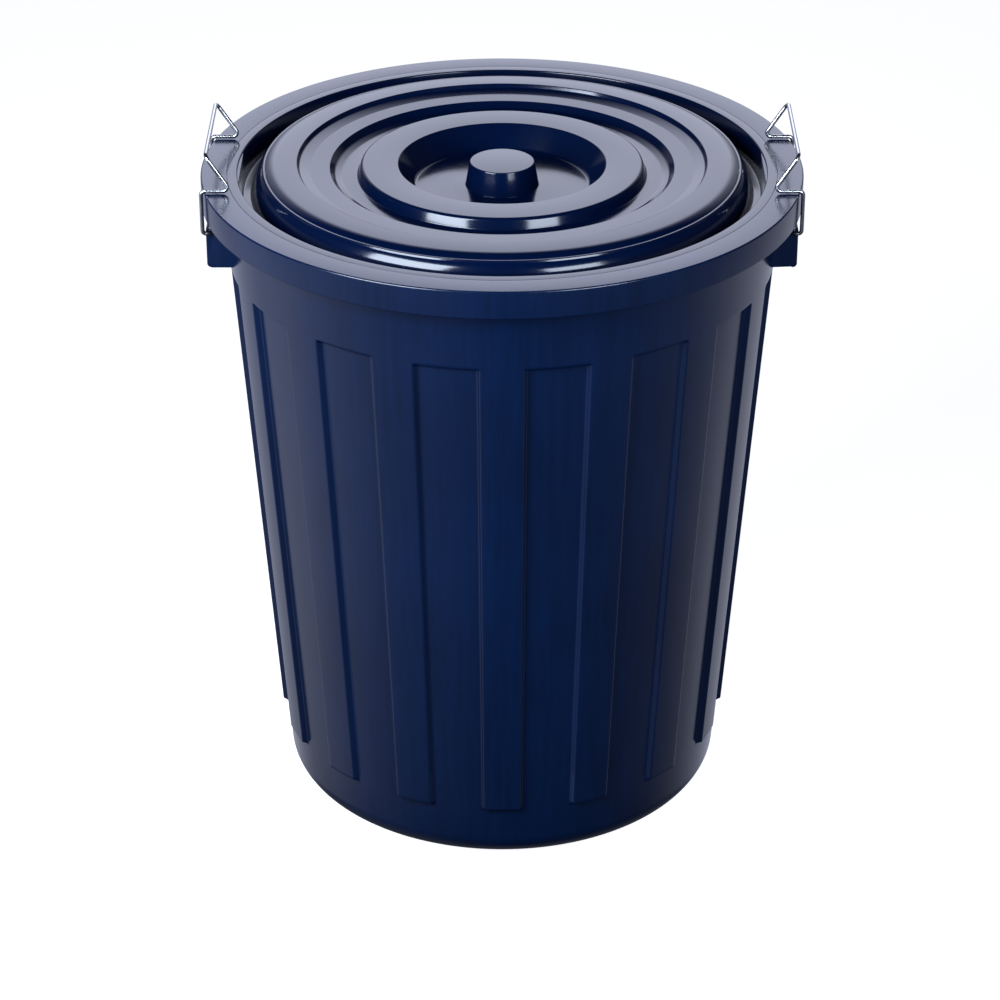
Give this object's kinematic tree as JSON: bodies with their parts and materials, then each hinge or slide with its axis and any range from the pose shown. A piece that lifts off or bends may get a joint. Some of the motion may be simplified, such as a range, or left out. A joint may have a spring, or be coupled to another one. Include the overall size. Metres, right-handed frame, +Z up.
{
  "type": "plastic open head drum",
  "caption": "Tapered open head plastic drum with sunken side panels, a ringed lift-off lid with a knob in a central well, and swinging wire handles on the rim.",
  "frame": {"origin": "centre of the base, on the floor plane", "axes": "+Z up along the drum's axis; -Y is the front; the wire handles are at -X (left) and +X (right)"},
  "size_m": [0.552, 0.552, 0.6629],
  "materials": {
    "drum_plastic": "dark navy, moulded satin gloss",
    "lid_plastic": "dark navy, polished gloss",
    "handle_wire": "bright zinc-plated steel wire"
  },
  "bodies": {
    "drum": {"drum_body": "drum_plastic"},
    "lid": {"lid": "lid_plastic"},
    "left_handle": {"left_handle": "handle_wire"},
    "right_handle": {"right_handle": "handle_wire"}
  },
  "joints": [
    {"name": "lid_lift", "type": "slide", "parent": "drum", "child": "lid", "axis": [0, 0, 1], "range_m": [0, 0.2]},
    {"name": "left_handle_swing", "type": "hinge", "parent": "drum", "child": "left_handle", "pos_m": [-0.2645, 0, 0.586], "axis": [0, -1, 0], "range_deg": [0, 180]},
    {"name": "right_handle_swing", "type": "hinge", "parent": "drum", "child": "right_handle", "pos_m": [0.2645, 0, 0.586], "axis": [0, 1, 0], "range_deg": [0, 180]}
  ]
}
